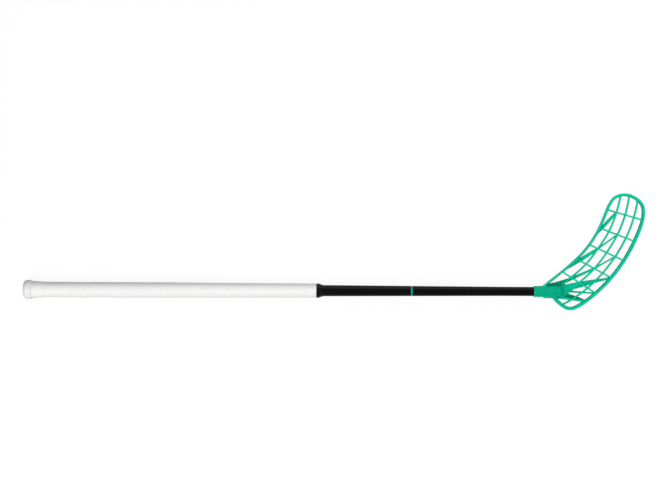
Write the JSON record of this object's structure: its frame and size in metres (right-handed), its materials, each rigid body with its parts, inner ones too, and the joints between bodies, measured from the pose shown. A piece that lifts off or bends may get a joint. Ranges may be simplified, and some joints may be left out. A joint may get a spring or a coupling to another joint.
{
  "type": "floorball stick",
  "caption": "Floorball stick: a wound white grip on a tapered black shaft, with a curled open-net blade on a glued and screwed hosel.",
  "frame": {"origin": "centre of the butt's flat end face, on the shaft's axis", "axes": "+X along the shaft from the butt to the blade, +Y from the blade's heel to its toe, +Z out of the blade's hollow forehand face"},
  "size_m": [1.1171, 0.2107, 0.0405],
  "materials": {
    "shaft": "gloss",
    "blade": "satin",
    "knob": "matte",
    "grip": "matte",
    "tape": "gloss",
    "glue": "satin",
    "screw": "satin"
  },
  "bodies": {
    "root": {"shaft_tube": "shaft", "blade": "blade", "butt_knob": "knob", "grip_tape": "grip", "finishing_tape": "tape", "hosel_glue": "glue", "blade_screw": "screw"}
  },
  "joints": []
}
